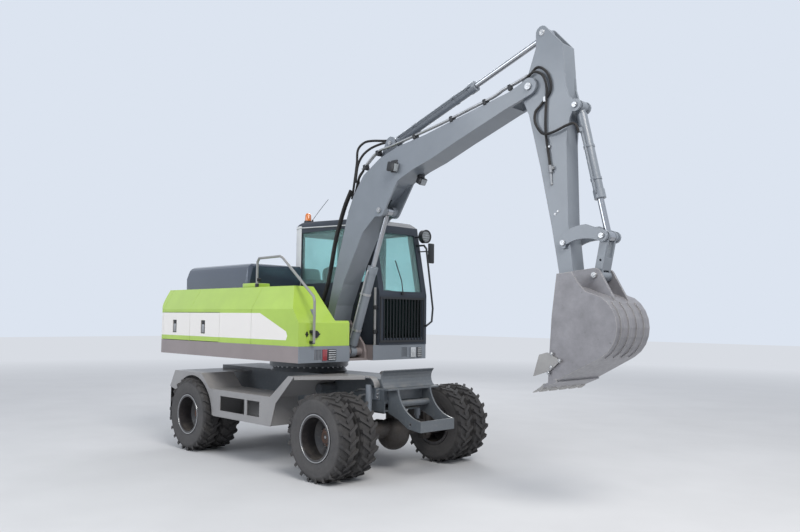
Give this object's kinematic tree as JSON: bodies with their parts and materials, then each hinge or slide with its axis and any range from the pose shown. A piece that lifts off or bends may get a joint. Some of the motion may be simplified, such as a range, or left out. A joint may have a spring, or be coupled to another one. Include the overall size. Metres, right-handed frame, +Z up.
{
  "type": "wheeled excavator",
  "caption": "Wheeled excavator with twin tyres, a one-piece boom, an arm with a toothed bucket, a cab at the left and a raised engine hood.",
  "frame": {"origin": "on the ground below the middle of the whole machine", "axes": "+X forward towards the bucket, +Y to the machine's left, +Z up"},
  "size_m": [7.48, 2.55, 5.0208],
  "materials": {
    "green_paint": "gloss",
    "white_paint": "gloss",
    "arm_grey": "satin",
    "bucket_grey": "satin",
    "skirt_grey": "satin",
    "fairing_grey": "satin",
    "chassis_grey": "satin",
    "cab_dark": "gloss",
    "hood_black": "gloss",
    "cast_dark": "satin",
    "tyre": "matte",
    "rim": "satin",
    "chrome": "polished",
    "steel": "satin",
    "glass": "clear",
    "seat": "matte",
    "rubber": "matte"
  },
  "bodies": {
    "chassis": {"chassis_frame": "chassis_grey", "tie_down_eyes": "chassis_grey", "slew_ring": "chassis_grey", "fairing_right": "fairing_grey", "fairing_left": "fairing_grey", "front_bracket": "chassis_grey", "mudflaps": "rubber", "front_axle": "cast_dark", "rear_axle": "cast_dark", "drive_line": "cast_dark", "axle_locks": "arm_grey"},
    "tie_rod": {"tie_rod": "chrome"},
    "knuckle_right": {"knuckle_right": "cast_dark"},
    "knuckle_left": {"knuckle_left": "cast_dark"},
    "wheel_front_right": {"tyres_front_right": "tyre", "rims_front_right": "rim"},
    "wheel_front_left": {"tyres_front_left": "tyre", "rims_front_left": "rim"},
    "wheel_rear_right": {"tyres_rear_right": "tyre", "rims_rear_right": "rim"},
    "wheel_rear_left": {"tyres_rear_left": "tyre", "rims_rear_left": "rim"},
    "house": {"house_frame": "skirt_grey", "front_panels": "arm_grey", "counterweight": "green_paint", "engine": "cast_dark", "engine_cowl": "green_paint", "tank_cover": "green_paint", "cab_shell": "cab_dark", "cab_glass": "glass", "cab_interior": "seat", "cab_fittings": "cab_dark", "handrails": "arm_grey"},
    "hood": {"rear_hood": "hood_black"},
    "door_right_rear": {"door_right_rear": "white_paint"},
    "door_right_mid": {"door_right_mid": "white_paint"},
    "door_left": {"door_left": "white_paint"},
    "cab_door": {"cab_door": "cab_dark", "cab_door_glass": "glass"},
    "boom": {"boom": "arm_grey"},
    "boom_tube": {"boom_cylinder_tube": "arm_grey"},
    "boom_rod": {"boom_cylinder_rod": "chrome"},
    "arm": {"arm": "arm_grey"},
    "arm_tube": {"arm_cylinder_tube": "arm_grey"},
    "arm_rod": {"arm_cylinder_rod": "chrome"},
    "bucket_tube": {"bucket_cylinder_tube": "arm_grey"},
    "bucket_rod": {"bucket_cylinder_rod": "chrome"},
    "rocker": {"rocker": "arm_grey"},
    "link": {"bucket_link": "arm_grey"},
    "bucket": {"bucket": "bucket_grey", "bucket_teeth": "steel"}
  },
  "joints": [
    {"name": "steer_right", "type": "hinge", "parent": "chassis", "child": "knuckle_right", "pos_m": [0.368, -0.61, 0.509], "axis": [0, 0, 1], "range_deg": [-28, 28]},
    {"name": "steer_left", "type": "hinge", "parent": "chassis", "child": "knuckle_left", "pos_m": [0.368, 0.61, 0.509], "axis": [0, 0, 1], "range_deg": [-28, 28]},
    {"name": "tie_rod_slide", "type": "slide", "parent": "chassis", "child": "tie_rod", "axis": [0, 1, 0], "range_m": [-0.12, 0.12]},
    {"name": "spin_front_right", "type": "hinge", "parent": "knuckle_right", "child": "wheel_front_right", "pos_m": [0.368, -0.995, 0.509], "axis": [0, 1, 0], "continuous": true},
    {"name": "spin_front_left", "type": "hinge", "parent": "knuckle_left", "child": "wheel_front_left", "pos_m": [0.368, 0.995, 0.509], "axis": [0, 1, 0], "continuous": true},
    {"name": "spin_rear_right", "type": "hinge", "parent": "chassis", "child": "wheel_rear_right", "pos_m": [-2.532, -0.995, 0.509], "axis": [0, 1, 0], "continuous": true},
    {"name": "spin_rear_left", "type": "hinge", "parent": "chassis", "child": "wheel_rear_left", "pos_m": [-2.532, 0.995, 0.509], "axis": [0, 1, 0], "continuous": true},
    {"name": "slew", "type": "hinge", "parent": "chassis", "child": "house", "pos_m": [-1.38, 0, 1.33], "axis": [0, 0, 1], "continuous": true},
    {"name": "hood_hinge", "type": "hinge", "parent": "house", "child": "hood", "pos_m": [-3.62, 0, 2.3093], "axis": [0, -1, 0], "range_deg": [0, 55]},
    {"name": "door_right_rear_hinge", "type": "hinge", "parent": "house", "child": "door_right_rear", "pos_m": [-2.81, -1.115, 1.7], "axis": [0, 0, 1], "range_deg": [0, 85]},
    {"name": "door_right_mid_hinge", "type": "hinge", "parent": "house", "child": "door_right_mid", "pos_m": [-1.995, -1.115, 1.7], "axis": [0, 0, 1], "range_deg": [0, 85]},
    {"name": "door_left_hinge", "type": "hinge", "parent": "house", "child": "door_left", "pos_m": [-3.589, 1.115, 1.7], "axis": [0, 0, 1], "range_deg": [0, 85]},
    {"name": "cab_door_hinge", "type": "hinge", "parent": "house", "child": "cab_door", "pos_m": [-1.036, 1.138, 2.3], "axis": [0, 0, 1], "range_deg": [0, 150]},
    {"name": "boom_lift", "type": "hinge", "parent": "house", "child": "boom", "pos_m": [-0.68, -0.09, 1.75], "axis": [0, -1, 0], "range_deg": [-50, 22]},
    {"name": "boom_tube_swing", "type": "hinge", "parent": "house", "child": "boom_tube", "pos_m": [-0.37, -0.09, 1.45], "axis": [0, -1, 0], "range_deg": [-49, 22]},
    {"name": "boom_rod_slide", "type": "slide", "parent": "boom_tube", "child": "boom_rod", "axis": [0.35, 0, 0.9368], "range_m": [-0.36, 0.16]},
    {"name": "arm_swing", "type": "hinge", "parent": "boom", "child": "arm", "pos_m": [2.616, -0.09, 4.382], "axis": [0, 1, 0], "range_deg": [-80, 10]},
    {"name": "arm_tube_swing", "type": "hinge", "parent": "boom", "child": "arm_tube", "pos_m": [0.415, -0.09, 4.134], "axis": [0, 1, 0], "range_deg": [-3, 3]},
    {"name": "arm_rod_slide", "type": "slide", "parent": "arm_tube", "child": "arm_rod", "axis": [0.9449, 0, 0.3275], "range_m": [-0.78, 0.1]},
    {"name": "bucket_curl", "type": "hinge", "parent": "arm", "child": "bucket", "pos_m": [3.06, -0.09, 2.295], "axis": [0, 1, 0], "range_deg": [-30, 100]},
    {"name": "rocker_swing", "type": "hinge", "parent": "arm", "child": "rocker", "pos_m": [3.033, -0.09, 2.68], "axis": [0, 1, 0], "range_deg": [-22, 71]},
    {"name": "link_swing", "type": "hinge", "parent": "bucket", "child": "link", "pos_m": [3.39, -0.09, 2.34], "axis": [0, 1, 0], "range_deg": [-88, 27]},
    {"name": "bucket_tube_swing", "type": "hinge", "parent": "arm", "child": "bucket_tube", "pos_m": [3.158, -0.09, 4.087], "axis": [0, 1, 0], "range_deg": [-3, 9]},
    {"name": "bucket_rod_slide", "type": "slide", "parent": "bucket_tube", "child": "bucket_rod", "axis": [0.2247, 0, -0.9744], "range_m": [-0.135, 0.44]}
  ],
  "couplings": [
    {"joint": "steer_left", "follows": "steer_right", "ratio": 1},
    {"joint": "tie_rod_slide", "follows": "steer_right", "m_per_rad": -0.235},
    {"joint": "boom_tube_swing", "follows": "boom_lift", "ratio": 0.961},
    {"joint": "boom_rod_slide", "follows": "boom_lift", "m_per_rad": 0.403},
    {"joint": "arm_tube_swing", "follows": "arm_swing", "ratio": 0.02},
    {"joint": "arm_rod_slide", "follows": "arm_swing", "m_per_rad": 0.55},
    {"joint": "rocker_swing", "follows": "bucket_curl", "ratio": 0.7036},
    {"joint": "link_swing", "follows": "bucket_curl", "ratio": -0.877},
    {"joint": "bucket_tube_swing", "follows": "bucket_curl", "ratio": 0.081},
    {"joint": "bucket_rod_slide", "follows": "bucket_curl", "m_per_rad": 0.249}
  ]
}
